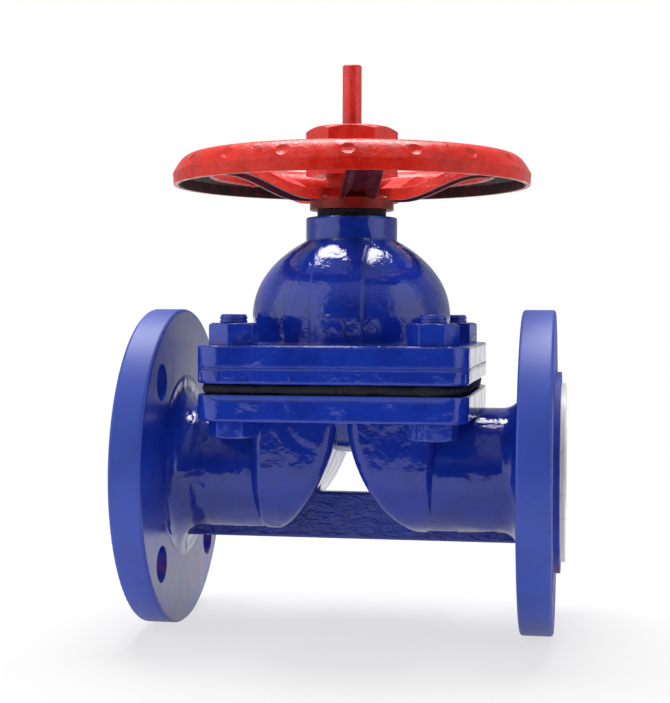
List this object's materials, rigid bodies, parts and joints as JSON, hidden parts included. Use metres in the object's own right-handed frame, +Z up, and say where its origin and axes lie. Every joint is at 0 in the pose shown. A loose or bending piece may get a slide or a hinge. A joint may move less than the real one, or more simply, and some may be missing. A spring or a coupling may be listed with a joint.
{
  "type": "diaphragm valve",
  "caption": "Flanged weir diaphragm valve with a lined bore, domed bonnet, rising stem and channel-spoked handwheel.",
  "frame": {"origin": "under the valve's centre, level with the lowest point of the end flanges", "axes": "+X along the pipe from inlet to outlet, +Z up along the stem, -Y towards the viewer"},
  "size_m": [0.2146, 0.179, 0.2824],
  "materials": {
    "blue_enamel": "thick gloss ultramarine enamel",
    "red_enamel": "gloss red enamel",
    "lining_white": "smooth white fluoroplastic",
    "rubber_black": "matt black rubber",
    "bronze": "turned bronze",
    "steel": "turned steel",
    "cast_iron": "raw casting"
  },
  "bodies": {
    "casing": {"body": "blue_enamel", "body_lining": "lining_white", "diaphragm_facing": "lining_white", "diaphragm": "rubber_black", "finger_plate": "blue_enamel", "bonnet": "blue_enamel", "bonnet_bolts": "blue_enamel", "bonnet_nuts": "blue_enamel", "sleeve_bush": "bronze", "thrust_washer": "bronze", "dust_ring": "rubber_black"},
    "wheel": {"handwheel": "red_enamel", "handwheel_nut": "red_enamel", "spindle_sleeve": "steel", "sleeve_seal": "rubber_black", "drive_key": "steel"},
    "spindle": {"stem": "red_enamel", "compressor": "cast_iron", "compressor_pin": "steel", "diaphragm_stud": "steel"}
  },
  "joints": [
    {"name": "wheel_turn", "type": "hinge", "parent": "casing", "child": "wheel", "pos_m": [0, 0, 0.2097], "axis": [0, 0, 1], "range_deg": [-2160, 0]},
    {"name": "stem_travel", "type": "slide", "parent": "casing", "child": "spindle", "axis": [0, 0, 1], "range_m": [-0.024, 0], "deforming": ["diaphragm", "diaphragm_facing"]}
  ],
  "couplings": [
    {"joint": "stem_travel", "follows": "wheel_turn", "m_per_rad": 0.00063661}
  ]
}
